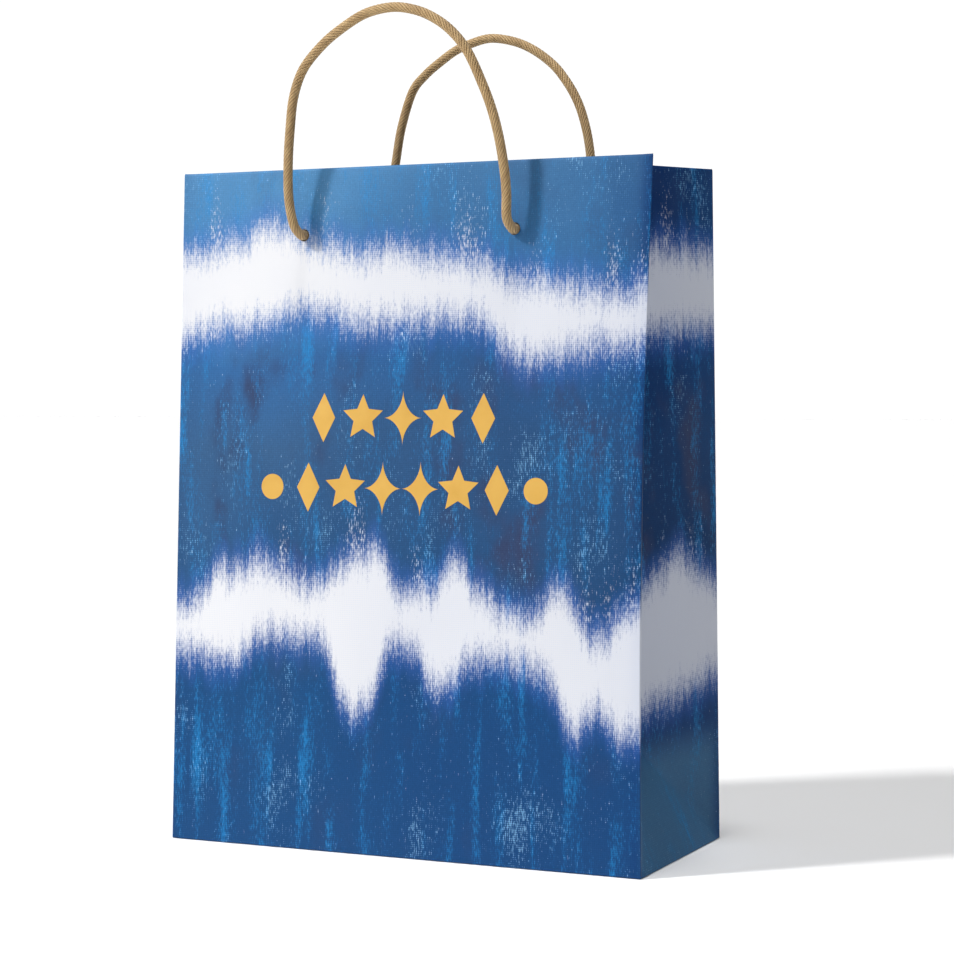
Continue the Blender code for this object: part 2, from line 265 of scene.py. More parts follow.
def hem_gap(around):
    """How far the turned-in hem's printed side stands inside the wall's printed side."""
    place = (around + WIDTH / 2 + DEPTH) % PERIMETER - WIDTH / 2 - DEPTH
    corners = (-WIDTH / 2 - DEPTH, -WIDTH / 2, WIDTH / 2, WIDTH / 2 + DEPTH,
               WIDTH * 1.5 + DEPTH)
    away = np.min([np.abs(place - corner) for corner in corners], axis=0)
    on_wall = (np.abs(place) < WIDTH / 2) | (place > WIDTH / 2 + DEPTH)
    full = np.where(on_wall, WALL_HEM_GAP, GUSSET_HEM_GAP)
    share = np.clip(away / HEM_GAP_RUN, 0, 1)
    return CORNER_HEM_GAP + (full - CORNER_HEM_GAP) * share * share * (3 - 2 * share)


STRAIGHT = WALL_LENGTH - MOUTH_RISE
TURN = math.pi * MOUTH_RISE
HEM_END = STRAIGHT + TURN + HEM_DEPTH - MOUTH_RISE


def shell(around, up):
    """The printed side of the whole sheet, with the mouth fold and the hem."""
    turn = np.clip((up - STRAIGHT) / MOUTH_RISE, 0, math.pi)
    rise = MOUTH_RISE * np.sin(turn) - np.maximum(up - STRAIGHT - TURN, 0)
    height = np.minimum(up, STRAIGHT) + rise
    inward = hem_gap(around) * (1 - np.cos(turn)) / 2
    place = soft_shell(around, height)
    hem = inward > 0
    if hem.any():
        place[hem] -= normals(soft_shell, around[hem], height[hem]) * inward[hem, None]
    return place


def spaced(stops, step=CELL):
    """Values through the given stops, at most a step apart."""
    values = [stops[0]]
    for a, b in zip(stops, stops[1:]):
        count = max(1, math.ceil((b - a) / step - 1e-6))
        values += [a + (b - a) * (i + 1) / count for i in range(count)]
    return values


def around_fold(place):
    """Close columns on each side of a corner fold."""
    steps = (0.0003, 0.0006, 0.0010, CORNER_STRIP)
    return [place - step for step in reversed(steps)] + [place] + [place + step for step in steps]


# Columns of half a gusset, from its corner, and rows of the same heights, so that the bottom
# triangle's crease, at 45 degrees on the flat sheet, runs through the grid's own points
GUSSET_COLUMNS = spaced([CORNER_STRIP] + [DEPTH / 2 - step for step in (0.0012, 0.0007, 0.0003, 0)])
FOOT_ROWS = [-0.0008, -0.0005, -0.0002, 0.0001, 0.0004, 0.0008, 0.0011]
MOUTH_ROWS = [STRAIGHT + TURN * i / 10 for i in range(11)]
ROWS = spaced(FOOT_ROWS + GUSSET_COLUMNS + [STRAIGHT - HEM_DEPTH] + MOUTH_ROWS + [HEM_END])


def mesh_from(bm, name):
    mesh = bpy.data.meshes.new(name)
    bm.to_mesh(mesh)
    bm.free()
    return mesh


def slab(name, columns, rows, low, high, slant):
    """A flat sheet of paper as a closed slab: x is around, y is up and z is depth. With a slant of
    1 or -1 its cells are split along their rising or falling diagonals, on both skins alike."""
    bm = bmesh.new()
    skins = [[[bm.verts.new((x, y, z)) for x in columns] for y in rows] for z in (high, low)]
    printed, back = skins
    for j in range(len(rows) - 1):
        for i in range(len(columns) - 1):
            for skin, order, finish in ((printed, 1, 0), (back, -1, 1)):
                a, b, c, d = skin[j][i], skin[j][i + 1], skin[j + 1][i + 1], skin[j + 1][i]
                cells = {0: ((a, b, c, d),), 1: ((a, b, c), (a, c, d)), -1: ((a, b, d), (b, c, d))}
                for corners in cells[slant]:
                    bm.faces.new(corners[::order]).material_index = finish
    rim = [(j, 0) for j in range(len(rows) - 1, 0, -1)]
    rim += [(0, i) for i in range(len(columns) - 1)]
    rim += [(j, len(columns) - 1) for j in range(len(rows) - 1)]
    rim += [(len(rows) - 1, i) for i in range(len(columns) - 1, 0, -1)]
    for (j, i), (l, k) in zip(rim, rim[1:] + rim[:1]):
        face = bm.faces.new((printed[l][k], printed[j][i], back[j][i], back[l][k]))
        face.material_index = 1
    return mesh_from(bm, name)


def new_object(name, mesh, materials):
    """An object with the given mesh and materials, whose faces keep their material numbers."""
    obj = bpy.data.objects.new(name, mesh)
    bpy.context.scene.collection.objects.link(obj)
    finishes = np.empty(len(mesh.polygons), int)
    mesh.polygons.foreach_get("material_index", finishes)
    mesh.materials.clear()
    for material in materials:
        mesh.materials.append(material)
    mesh.polygons.foreach_set("material_index", finishes)
    return obj


def punch(mesh, centres, materials):
    """The slab with round rope holes cut through it."""
    bm = bmesh.new()
    for x, y in centres:
        bmesh.ops.create_cone(bm, cap_ends=True, segments=PUNCH_SEGMENTS,
                              radius1=HOLE_DIAMETER / 2, radius2=HOLE_DIAMETER / 2,
                              depth=PUNCH_DEPTH, matrix=Matrix.Translation((x, y, 0)))
    for face in bm.faces:
        face.material_index = 1
    blank = new_object("blank", mesh, materials)
    tool = new_object("punch", mesh_from(bm, "punch"), materials)
    cut = blank.modifiers.new("holes", "BOOLEAN")
    cut.object = tool
    cut.operation = "DIFFERENCE"
    depsgraph = bpy.context.evaluated_depsgraph_get()
    punched = bpy.data.meshes.new_from_object(blank.evaluated_get(depsgraph))
    for obj in (blank, tool):
        bpy.data.objects.remove(obj)
    return punched


def fold(mesh, surface=shell):
    """Bends a flat slab onto a surface, and keeps its flat coordinates as the paper's UV map."""
    flat = np.array([v.co for v in mesh.vertices])
    around, up, depth = flat.T
    folded = surface(around, up) + normals(surface, around, up) * depth[:, None]
    layer = mesh.uv_layers.new(name="paper")
    corners = np.empty(len(mesh.loops), int)
    mesh.loops.foreach_get("vertex_index", corners)
    layer.data.foreach_set("uv", flat[corners, :2].ravel())
    mesh.vertices.foreach_set("co", folded.ravel())
    mesh.update()
    mesh.shade_smooth()
    mesh.set_sharp_from_angle(angle=CREASE_ANGLE)
    return mesh


# ---------------------------------------------------------------- materials

class Graph:
    """A small helper that builds one procedural material."""

    def __init__(self, name):
        self.material = bpy.data.materials.new(name)
        self.material.use_nodes = True
        self.tree = self.material.node_tree
        self.shader = self.tree.nodes["Principled BSDF"]

    def node(self, kind, **settings):
        made = self.tree.nodes.new(kind)
        for key, value in settings.items():
            setattr(made, key, value)
        return made

    def put(self, socket, value):
        """Links another node's output to a socket, or sets its value. None leaves it alone."""
        if isinstance(value, bpy.types.NodeSocket):
            self.tree.links.new(value, socket)
        elif value is not None:
            socket.default_value = value

    def math(self, operation, a, b=None, clamp=False):
        made = self.node("ShaderNodeMath", operation=operation, use_clamp=clamp)
        for socket, value in zip(made.inputs, (a, b)):
            self.put(socket, value)
        return made.outputs[0]

    def add(self, *values):
        total = values[0]
        for value in values[1:]:
            total = self.math("ADD", total, value)
        return total

    def times(self, a, b):
        return self.math("MULTIPLY", a, b)

    def minus(self, a, b):
        return self.math("SUBTRACT", a, b)

    def swing(self, value, amount):
        """A value from 0 to 1 as a swing about 0, amount wide."""
        return self.times(self.minus(value, 0.5), amount)

    def step(self, value, low, high, kind="SMOOTHSTEP"):
        """0 at low and 1 at high, which may be below low."""
        made = self.node("ShaderNodeMapRange", interpolation_type=kind, clamp=True)
        for key, setting in (("Value", value), ("From Min", low), ("From Max", high)):
            self.put(made.inputs[key], setting)
        return made.outputs["Result"]

    def vector(self, x, y, z):
        made = self.node("ShaderNodeCombineXYZ")
        for socket, value in zip(made.inputs, (x, y, z)):
            self.put(socket, value)
        return made.outputs[0]

    def noise(self, place, cells, seed, detail=2.0, rough=0.5):
        """Noise with its own number of cells a metre along each of the place's two axes."""
        x, y = (self.times(along, count) for along, count in zip(place, cells))
        made = self.node("ShaderNodeTexNoise", noise_dimensions="3D")
        self.put(made.inputs["Vector"], self.vector(x, y, seed))
        for key, value in (("Scale", 1.0), ("Detail", detail), ("Roughness", rough)):
            made.inputs[key].default_value = value
        return made.outputs["Fac"]

    def mix(self, a, b, factor, blend="MIX"):
        """Colour a at factor 0 and b, blended over it, at factor 1."""
        made = self.node("ShaderNodeMix", data_type="RGBA", blend_type=blend)
        self.put(made.inputs["Factor"], factor)
        self.put(made.inputs[6], a)
        self.put(made.inputs[7], b)
        return made.outputs[2]

    def ramp(self, factor, stops):
        """A colour from (place, colour) stops."""
        made = self.node("ShaderNodeValToRGB")
        self.put(made.inputs["Fac"], factor)
        elements = made.color_ramp.elements
        while len(elements) < len(stops):
            elements.new(0.5)
        for element, (place, colour) in zip(elements, stops):
            element.position = place
            element.color = colour
        return made.outputs["Color"]

    def curve(self, value, points):
        """A smooth curve through (value, result) points, both from 0 to 1."""
        made = self.node("ShaderNodeFloatCurve")
        self.put(made.inputs["Value"], value)
        line = made.mapping.curves[0]
        while len(line.points) < len(points):
            line.points.new(0.5, 0.5)
        for point, place in zip(line.points, points):
            point.location = place
            point.handle_type = "AUTO_CLAMPED"
        made.mapping.update()
        return made.outputs["Value"]

    def split(self, vector):
        made = self.node("ShaderNodeSeparateXYZ")
        self.put(made.inputs[0], vector)
        return list(made.outputs)

    def flat_place(self, uv_map):
        """A place in metres on the flat sheet, or along and around the rope."""
        return self.split(self.node("ShaderNodeUVMap", uv_map=uv_map).outputs[0])[:2]

    def object_place(self):
        return self.split(self.node("ShaderNodeTexCoord").outputs["Object"])

    def bump(self, height, distance):
        made = self.node("ShaderNodeBump")
        self.put(made.inputs["Height"], height)
        made.inputs["Distance"].default_value = distance
        made.inputs["Strength"].default_value = 1.0
        self.put(self.shader.inputs["Normal"], made.outputs[0])

    def finish(self, colour, roughness, **settings):
        """The material, with its shader's other inputs named with _ for spaces."""
        self.put(self.shader.inputs["Base Color"], colour)
        self.put(self.shader.inputs["Roughness"], roughness)
        for key, value in settings.items():
            self.shader.inputs[key.replace("_", " ")].default_value = value
        return self.material


def rgb(red, green, blue):
    """A linear colour from 8-bit sRGB values."""
    linear = [v / 255 / 12.92 if v <= 10 else ((v / 255 + 0.055) / 1.055) ** 2.4
              for v in (red, green, blue)]
    return (*linear, 1.0)


# Edges of the two undyed bands: millimetres around the bag, and share of its height from the mouth
UPPER_TOP = [
    (-229, 0.12), (-175, 0.15), (-120, 0.133), (-90, 0.115), (-72, 0.092), (-54, 0.113),
    (-15, 0.14), (24, 0.143), (41, 0.163), (57, 0.178), (89, 0.19), (112, 0.205), (160, 0.16),
    (190, 0.125), (240, 0.14), (300, 0.10), (360, 0.16), (420, 0.13), (470, 0.12),
]
UPPER_BOTTOM = [
    (-229, 0.22), (-175, 0.25), (-120, 0.244), (-100, 0.225), (-72, 0.216), (-54, 0.201),
    (-15, 0.222), (24, 0.215), (41, 0.225), (52, 0.263), (65, 0.273), (97, 0.26), (120, 0.252),
    (175, 0.235), (240, 0.22), (300, 0.20), (345, 0.26), (410, 0.23), (470, 0.22),
]
LOWER_TOP = [
    (-229, 0.61), (-175, 0.64), (-120, 0.656), (-90, 0.603), (-72, 0.596), (-45, 0.618),
    (-25, 0.580), (-12, 0.570), (-1, 0.623), (16, 0.627), (27, 0.585), (39, 0.627), (65, 0.654),
    (81, 0.619), (98, 0.68), (114, 0.645), (160, 0.62), (190, 0.60), (200, 0.57), (212, 0.60),
    (250, 0.64), (290, 0.58), (340, 0.65), (390, 0.60), (440, 0.66), (470, 0.61),
]
LOWER_BOTTOM = [
    (-229, 0.73), (-175, 0.76), (-120, 0.707), (-90, 0.722), (-72, 0.68), (-42, 0.681),
    (-31, 0.755), (-22, 0.785), (-11, 0.735), (-1, 0.686), (9, 0.695), (19, 0.742), (29, 0.731),
    (38, 0.70), (65, 0.707), (78, 0.73), (89, 0.795), (98, 0.765), (112, 0.797), (160, 0.78),
    (200, 0.76), (250, 0.73), (300, 0.79), (350, 0.72), (400, 0.80), (470, 0.73),
]

# How deeply the dye has soaked in, against millimetres around the bag; its deep values on the front
# wall's right side and the right gusset are partly painted shade
SOAK_AND_SHADE = [
    (-229, 0.8), (-175, 0.7), (-122, 0.3), (-100, 0.1), (0, 0.3), (60, 0.45), (112, 0.6),
    (124, 0.95), (175, 1.0), (226, 0.9), (250, 0.4), (350, 0.2), (460, 0.5), (470, 0.8),
]


def lap_points(outline):
    """An outline in millimetres around the bag, as shares of one lap from its rear left corner."""
    start = WIDTH / 2 + DEPTH
    return [((millimetres / 1000 + start) / PERIMETER, share) for millimetres, share in outline]


# The dye down the bag, from its mouth at 0 to its foot at 1, where it's pale and where it's deep
PALE_DYE = [
    (0.00, rgb(84, 142, 190)), (0.16, rgb(72, 132, 184)), (0.27, rgb(48, 102, 158)),
    (0.40, rgb(54, 94, 136)), (0.60, rgb(40, 84, 130)), (0.74, rgb(22, 74, 124)),
    (1.00, rgb(24, 74, 124)),
]
DEEP_DYE = [
    (0.00, rgb(0, 48, 104)), (0.27, rgb(2, 54, 108)), (0.60, rgb(4, 50, 96)),
    (0.74, rgb(4, 58, 114)), (1.00, rgb(4, 56, 110)),
]
FADED_AND_LIT_FOOT, DUSK_DYE, STREAK_DYE = rgb(66, 112, 150), rgb(50, 62, 96), rgb(30, 136, 204)
FRINGE_DYE, DOT_DYE = rgb(62, 108, 196), rgb(128, 182, 224)
PALE_CLOTH, SHADED_CLOTH, CLOTH_GRAIN = rgb(234, 234, 236), rgb(204, 209, 222), rgb(196, 206, 232)

# The canvas weave, in metres and radians, and the undyed bands' edges, as shares of the height
WEAVE_PITCH, WEAVE_SHAKE = 0.00095, 2.5
RAGGED_EDGE, EDGE_SPIKES = 0.040, 0.025
VEIL_ABOVE, VEIL_BELOW, VEIL_LAP = 0.15, 0.06, 0.02
BAND_FADE, BAND_COVER = (-0.048, 0.060), (0.22, 1.02)
FRINGE_REACH = 0.065


def printed_paper():
    """Blue dyed-cloth print with two undyed bands, fine upright streaks and a canvas grain, with
    painted shade to the right and painted light on the right gusset's foot.
    """
    g = Graph("printed_paper")
    paper = around, up = g.flat_place("paper")
    share = g.minus(1.0, g.times(up, 1 / WALL_LENGTH))
    lap = g.times(g.add(around, WIDTH / 2 + DEPTH), 1 / PERIMETER)

    # Canvas grain
    pitch = 2 * math.pi / WEAVE_PITCH
    shake = g.times(g.noise(paper, (240, 240), 3.1), WEAVE_SHAKE)
    warp = g.math("SINE", g.add(g.times(around, pitch), shake))
    weft = g.math("SINE", g.add(g.times(up, pitch), shake))
    weave = g.times(g.add(warp, weft), 0.5)
    speck = g.noise(paper, (1500, 900), 7.7, detail=1.0)
    fine = g.noise(paper, (1000, 55), 1.3)
    dash = g.noise(paper, (1700, 420), 11.3)
    dashes = g.add(dash, g.times(weave, 0.06))
    canvas = g.add(g.swing(dash, 0.8), g.times(weave, 0.13), g.swing(fine, 0.6),
                   g.swing(speck, 0.3))

    # Undyed bands, with ragged upright edges
    ragged = g.swing(g.noise(paper, (260, 22), 2.9), RAGGED_EDGE)
    drag = g.noise(paper, (75, 6), 5.2, detail=1.0)
    spikes = g.times(g.math("POWER", g.step(drag, 0.45, 0.80, "LINEAR"), 2.0), EDGE_SPIKES)
    cluster = g.step(g.noise(paper, (75, 5), 12.6, detail=1.0), 0.42, 0.72)

    def veil(distance, reach):
        """Fine undyed dashes that thin out with distance from a band."""
        near = g.times(g.step(distance, -reach, 0.0), cluster)
        return g.times(g.step(g.add(dashes, g.times(near, 0.30)), 0.70, 0.98), 0.8)

    def band(top, bottom):
        """How undyed the paper is about one band, and how much of the band's fringe it has."""
        above = g.minus(share, g.curve(lap, lap_points(top)))
        below = g.minus(g.curve(lap, lap_points(bottom)), share)
        inside = g.math("MINIMUM", g.add(above, ragged, spikes), g.add(below, ragged))
        edges = g.times(veil(above, VEIL_ABOVE), g.step(below, -VEIL_LAP, 0.0))
        feet = g.times(veil(below, VEIL_BELOW), g.step(above, -VEIL_LAP, 0.0))
        cover = g.add(g.times(g.step(inside, *BAND_FADE, "LINEAR"), 1.5), canvas)
        solid = g.step(cover, *BAND_COVER)
        return (g.math("MAXIMUM", solid, g.math("MAXIMUM", edges, feet)),
                g.step(inside, -FRINGE_REACH, 0.0))

    upper, upper_fringe = band(UPPER_TOP, UPPER_BOTTOM)
    lower, lower_fringe = band(LOWER_TOP, LOWER_BOTTOM)
    white = g.math("MAXIMUM", upper, lower)
    fringe = g.math("MAXIMUM", upper_fringe, lower_fringe)

    # Dye: pale to deep, partly as painted shade, paler on the right gusset's foot, partly as
    # painted light, with dusky smudges and bright streaks
    cloud = g.noise(paper, (16, 9), 9.4, detail=3.0)
    down = g.add(share, g.swing(cloud, 0.16))
    # Partly the dye's own variation, partly painted shade: highest on the front wall's right side
    # and over the right gusset, where less light falls
    soak_and_shade = g.math("ADD", g.curve(lap, lap_points(SOAK_AND_SHADE)), g.swing(cloud, 0.5), clamp=True)
    dye = g.mix(g.ramp(down, PALE_DYE), g.ramp(down, DEEP_DYE), soak_and_shade)
    from_gusset = g.math("ABSOLUTE", g.minus(around, (WIDTH + DEPTH) / 2))
    # Paler on the right gusset's bottom triangle: partly a faded patch of print, partly painted
    # light on a face turned up toward the overhead light
    foot = g.times(g.step(up, 0.062, 0.040), g.step(from_gusset, 0.058, 0.044))
    dye = g.mix(dye, FADED_AND_LIT_FOOT, g.times(foot, 0.85))
    smudge = g.noise(paper, (34, 17), 4.4, detail=3.0, rough=0.6)
    middle = g.times(g.step(share, 0.22, 0.34), g.step(share, 0.66, 0.56))
    dusk = g.times(g.step(smudge, 0.50, 0.70), g.add(0.20, g.times(middle, 0.7)))
    dye = g.mix(dye, DUSK_DYE, dusk)
    streak = g.noise(paper, (105, 14), 6.1, detail=3.0, rough=0.6)
    bright = g.step(g.add(streak, g.swing(dashes, 0.60)), 0.50, 0.84)
    dye = g.mix(dye, STREAK_DYE, g.times(bright, 0.75))
    dye = g.mix(dye, FRINGE_DYE, g.times(fringe, 0.5))
    patch = g.noise(paper, (42, 24), 8.8)
    dots = g.add(g.times(weave, 0.13), dash, g.swing(patch, 1.1))
    dye = g.mix(dye, DOT_DYE, g.times(g.step(dots, 0.74, 1.02), 0.7))
    grain = g.add(1.0, g.times(weave, 0.07), g.swing(speck, 0.30))
    dyed = g.mix(dye, g.vector(grain, grain, grain), 1.0, blend="MULTIPLY")

    # The undyed bands turn greyer and bluer where the soak is high: partly dye, partly painted
    # shade
    cloth = g.mix(PALE_CLOTH, SHADED_CLOTH, soak_and_shade)
    cloth = g.mix(cloth, CLOTH_GRAIN, g.times(g.step(weave, 0.2, 1.0), 0.35))
    grit = g.noise(paper, (2200, 2200), 1.0)
    g.bump(g.add(g.times(weave, 0.15), grit), 0.00004)
    return g.finish(g.mix(dyed, cloth, white), g.add(0.42, g.times(grit, 0.12)),
                    Specular_IOR_Level=0.16)


def bare_paper():
    """Uncoated white paper: the inside of the bag and every cut edge."""
    g = Graph("bare_paper")
    paper = g.flat_place("paper")
    pulp = g.noise(paper, (900, 900), 0.5, detail=4.0)
    cloud = g.noise(paper, (60, 60), 2.0, detail=3.0)
    colour = g.mix(rgb(232, 231, 226), rgb(244, 243, 240), cloud)
    g.bump(pulp, 0.00005)
    return g.finish(colour, g.add(0.72, g.times(pulp, 0.15)))


def board_material(name, light, dark):
    """Pressed grey board with long fibres and dark specks."""
    g = Graph(name)
    x, y, z = g.object_place()
    board = x, g.add(y, z)
    fibre = g.noise(board, (220, 900), 1.7, detail=4.0)
    speck = g.noise(board, (1400, 1400), 6.3)
    colour = g.mix(dark, light, g.step(fibre, 0.3, 0.7))
    colour = g.mix(colour, rgb(92, 84, 74), g.times(g.step(speck, 0.68, 0.76), 0.6))
    g.bump(fibre, 0.00008)
    return g.finish(colour, g.add(0.78, g.times(fibre, 0.12)))


def rope_material():
    """Twisted rope, with painted shade in the grooves between its strands: the strands run along
    the mesh, so its UV map follows them.
    """
    g = Graph("twisted_rope")
    strand = g.flat_place("strand")
    fibre = g.noise(strand, (4200, 260), 2.2, detail=3.0, rough=0.6)
    patch = g.noise(strand, (300, 70), 4.6)
    groove_shade = g.math("SINE", g.times(strand[0], math.pi * STRANDS / ROPE_LAP))
    colour = g.mix(rgb(168, 132, 82), rgb(206, 176, 126), g.step(fibre, 0.3, 0.7))
    colour = g.mix(colour, rgb(152, 118, 72), g.times(g.step(patch, 0.45, 0.7), 0.45))
    # Painted shade: the grooves between the strands are darkened, on top of their modelled dip
    colour = g.mix(rgb(104, 76, 40), colour, g.step(g.math("ABSOLUTE", groove_shade), 0.0, 0.5))
    g.bump(fibre, 0.00012)
    return g.finish(colour, g.add(0.55, g.times(fibre, 0.25)), Sheen_Weight=0.25,
                    Sheen_Roughness=0.5)


def foil_material():
    """Satin gold foil with the paper's grain showing through."""
    g = Graph("gold_foil")
    x, _, z = g.object_place()
    wear = g.noise((x, z), (90, 90), 1.0, detail=3.0)
    grain = g.noise((x, z), (1400, 1400), 3.0)
    colour = g.mix(rgb(214, 162, 66), rgb(228, 182, 88), wear)
    g.bump(grain, 0.00003)
    return g.finish(colour, g.add(0.42, g.times(wear, 0.12)), Metallic=0.15)


def floor_material():
    """A matt white studio floor."""
    g = Graph("studio_floor")
    cloud = g.noise(g.object_place()[:2], (6, 6), 0.0)
    return g.finish(g.mix(rgb(249, 249, 249), rgb(252, 252, 252), cloud), 0.9,
                    Specular_IOR_Level=0.1)


PRINT, BARE = printed_paper(), bare_paper()
CARD = board_material("reinforcing_card", rgb(196, 190, 178), rgb(168, 161, 149))
BOARD = board_material("base_board", rgb(214, 210, 200), rgb(188, 183, 172))
ROPE, FOIL = rope_material(), foil_material()


# ---------------------------------------------------------------- paper pieces

def paper_piece(name, columns, rows, body, nodes, holes=(), surface=shell, low=-PAPER, high=0.0,
                materials=(PRINT, BARE), slant=0):
    """A sheet cut flat, punched, folded onto a surface and given to its body, if it has one."""
    mesh = slab(name, columns, rows, low, high, slant)
    if holes:
        mesh = punch(mesh, holes, materials)
        mesh.name = name
    obj = new_object(name, fold(mesh, surface), materials)
    if body:
        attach(obj, body)
    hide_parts(*nodes)
    return obj


def wall_sheet(face_name, centre):
    """A wide wall with its turned-in hem, each with two rope holes."""
    left, right = centre - WIDTH / 2, centre + WIDTH / 2
    columns = spaced(around_fold(left) + around_fold(right))
    across = (centre - HOLE_SPACING / 2, centre + HOLE_SPACING / 2)
    hem_up = 2 * STRAIGHT + TURN - HOLE_UP
    holes = [(x, y) for x in across for y in (HOLE_UP, hem_up)]
    paper_piece(face_name + "_wall_sheet", columns, ROWS, face_name + "_wall",
                (face_name + "_panel", face_name + "_hem"), holes)


def gusset_sheet(side_name, face_name):
    """Half of a side gusset, from its corner strip to the centre crease."""
    side = 1 if side_name == "right" else -1
    face = -1 if face_name == "front" else 1
    corner = side * (WIDTH / 2 + (DEPTH if face > 0 else 0))
    inward = -side * face
    columns = sorted(corner + inward * step for step in GUSSET_COLUMNS)
    name = f"{side_name}_{face_name}_gusset"
    obj = paper_piece(name + "_sheet", columns, ROWS, None, (name, name + "_hem"), slant=inward)
    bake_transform(obj)


wall_sheet("front", 0.0)
wall_sheet("back", WIDTH + DEPTH)
for side_name in ("left", "right"):
    for face_name in ("front", "rear"):
        gusset_sheet(side_name, face_name)


def front_flap(around, up):
    """The outer bottom flap, folded in from the front wall, with its ends cut at 45 degrees."""
    half = WIDTH / 2 - np.minimum(-up, SIDE_FLAP_REACH)
    return np.stack([around / (WIDTH / 2) * half, -DEPTH / 2 - up, np.zeros_like(up)], axis=-1)


def rear_flap(around, up):
    """The inner bottom flap, folded in from the back wall, which steps up over the outer one."""
    half = WIDTH / 2 - np.minimum(-up, SIDE_FLAP_REACH)
    across = (around - WIDTH - DEPTH) / (WIDTH / 2) * half
    rise = np.clip((-up - INNER_FLAP_STEP[0]) / (INNER_FLAP_STEP[1] - INNER_FLAP_STEP[0]), 0, 1)
    return np.stack([-across, DEPTH / 2 + up, rise * 2 * PAPER], axis=-1)


def end_flap(side):
    """A surface for the flap that folds in from one gusset's foot, under the wide flaps."""
    centre = side * (WIDTH / 2 + DEPTH / 2)

    def surface(around, up):
        half = DEPTH / 2 + up
        rise = np.clip(-up / END_FLAP_RAMP, 0, 1)
        return np.stack([side * (WIDTH / 2 + up), side * (around - centre) / (DEPTH / 2) * half,
                         rise * 4 * PAPER], axis=-1)

    return surface


def bottom():
    """The four bottom flaps, which start at the foot fold's last row."""
    start = FOOT_ROWS[0]
    flaps = (
        ("bottom_outer_sheet", "bottom_outer_flap", 0.0, WIDTH, front_flap,
         [-OUTER_FLAP_REACH, -SIDE_FLAP_REACH, start]),
        ("bottom_inner_sheet", "bottom_inner_flap", WIDTH + DEPTH, WIDTH, rear_flap,
         [-INNER_FLAP_REACH, -SIDE_FLAP_REACH, -INNER_FLAP_STEP[1], -INNER_FLAP_STEP[0], start]),
        ("bottom_left_sheet", "bottom_left_flap", -(WIDTH + DEPTH) / 2, DEPTH, end_flap(-1),
         [-SIDE_FLAP_REACH, -END_FLAP_RAMP, start]),
        ("bottom_right_sheet", "bottom_right_flap", (WIDTH + DEPTH) / 2, DEPTH, end_flap(1),
         [-SIDE_FLAP_REACH, -END_FLAP_RAMP, start]),
    )
    for name, node, centre, width, surface, rows in flaps:
        reach = width / 2 - FLAP_SHRINK
        columns = spaced([centre - reach, centre + reach], FLAP_CELL)
        paper_piece(name, columns, spaced(rows, FLAP_CELL), "base", (node,), surface=surface)


def base_board():
    """The loose stiffening board: a die-cut sheet with rounded corners and softened edges."""
    low, high = (Vector(corner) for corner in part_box("base_board"))
    bm = bmesh.new()
    bmesh.ops.create_grid(bm, x_segments=1, y_segments=1, size=0.5)
    size, middle = high - low, (high + low) / 2
    bmesh.ops.transform(bm, verts=bm.verts,
                        matrix=Matrix.Translation(middle) @ Matrix.Diagonal((size.x, size.y, 1, 1)))
    bmesh.ops.bevel(bm, geom=bm.verts[:], offset=BOARD_CORNER, segments=6, affect="VERTICES")
    obj = new_object("base_board_sheet", mesh_from(bm, "base_board_sheet"), [BOARD])
    thick = obj.modifiers.new("thickness", "SOLIDIFY")
    thick.thickness = size.z
    thick.offset = 0
    soften = obj.modifiers.new("soft_edges", "BEVEL")
    soften.width = BOARD_BEVEL
    soften.segments = 2
    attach(obj, "base")
    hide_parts("base_board")


def seam_flap():
    """The glue flap on the back wall's inner face, beside the bag's rear left corner."""
    columns = spaced([WIDTH + DEPTH + place for place in SEAM_RUN])
    rows = spaced([SEAM_FOOT, STRAIGHT - HEM_DEPTH - SEAM_HEM_GAP])
    paper_piece("side_seam_sheet", columns, rows, "back_wall", ("side_seam_flap",),
                low=SEAM_DEPTHS[0], high=SEAM_DEPTHS[1], materials=(BARE, BARE))


bottom()
base_board()
seam_flap()
for card in ("front_card", "back_card"):
    frame["nodes"][card].material_slots[0].material = CARD


# ---------------------------------------------------------------- gold motif

def polygon(corners, steps=8):
    """Points along a closed polygon's edges."""
    points = []
    for (ax, ay), (bx, by) in zip(corners, corners[1:] + corners[:1]):
        points += [(ax + (bx - ax) * i / steps, ay + (by - ay) * i / steps) for i in range(steps)]
    return points


def star(width, height):
    """A five-pointed star, its notches at STAR_NOTCH of its width from its centre."""
    corners = []
    for i in range(10):
        turn, reach = math.pi * (0.5 + i / 5), 0.5 if i % 2 == 0 else STAR_NOTCH
        corners.append((width * reach * math.cos(turn), height * reach * math.sin(turn)))
    return polygon(corners, 4)


def lozenge(width, height):
    return polygon([(width / 2, 0), (0, height / 2), (-width / 2, 0), (0, -height / 2)])


def pinched_round(width, height, steps, pinch):
    """An ellipse at a pinch of 1, and a four-pointed sparkle with hollow sides at a greater one."""
    circle = [(math.cos(2 * math.pi * i / steps), math.sin(2 * math.pi * i / steps))
              for i in range(steps)]
    return [(math.copysign(abs(x) ** pinch, x) * width / 2,
             math.copysign(abs(y) ** pinch, y) * height / 2) for x, y in circle]


def sparkle(width, height):
    return pinched_round(width, height, 64, SPARKLE_PINCH)


def dot(width, height):
    return pinched_round(width, height, 40, 1)


# Each shape's width and height, and each row's share down the wall, width and shapes
LOZENGE, STAR = (lozenge, 0.0120, 0.0230), (star, 0.0215, 0.0220)
SPARKLE, DOT = (sparkle, 0.0190, 0.0250), (dot, 0.0120, 0.0120)
FOIL_ROWS = (
    (0.3665, 0.082, (LOZENGE, STAR, SPARKLE, STAR, LOZENGE)),
    (0.4685, 0.136, (DOT, LOZENGE, STAR, SPARKLE, SPARKLE, STAR, LOZENGE, DOT)),
)


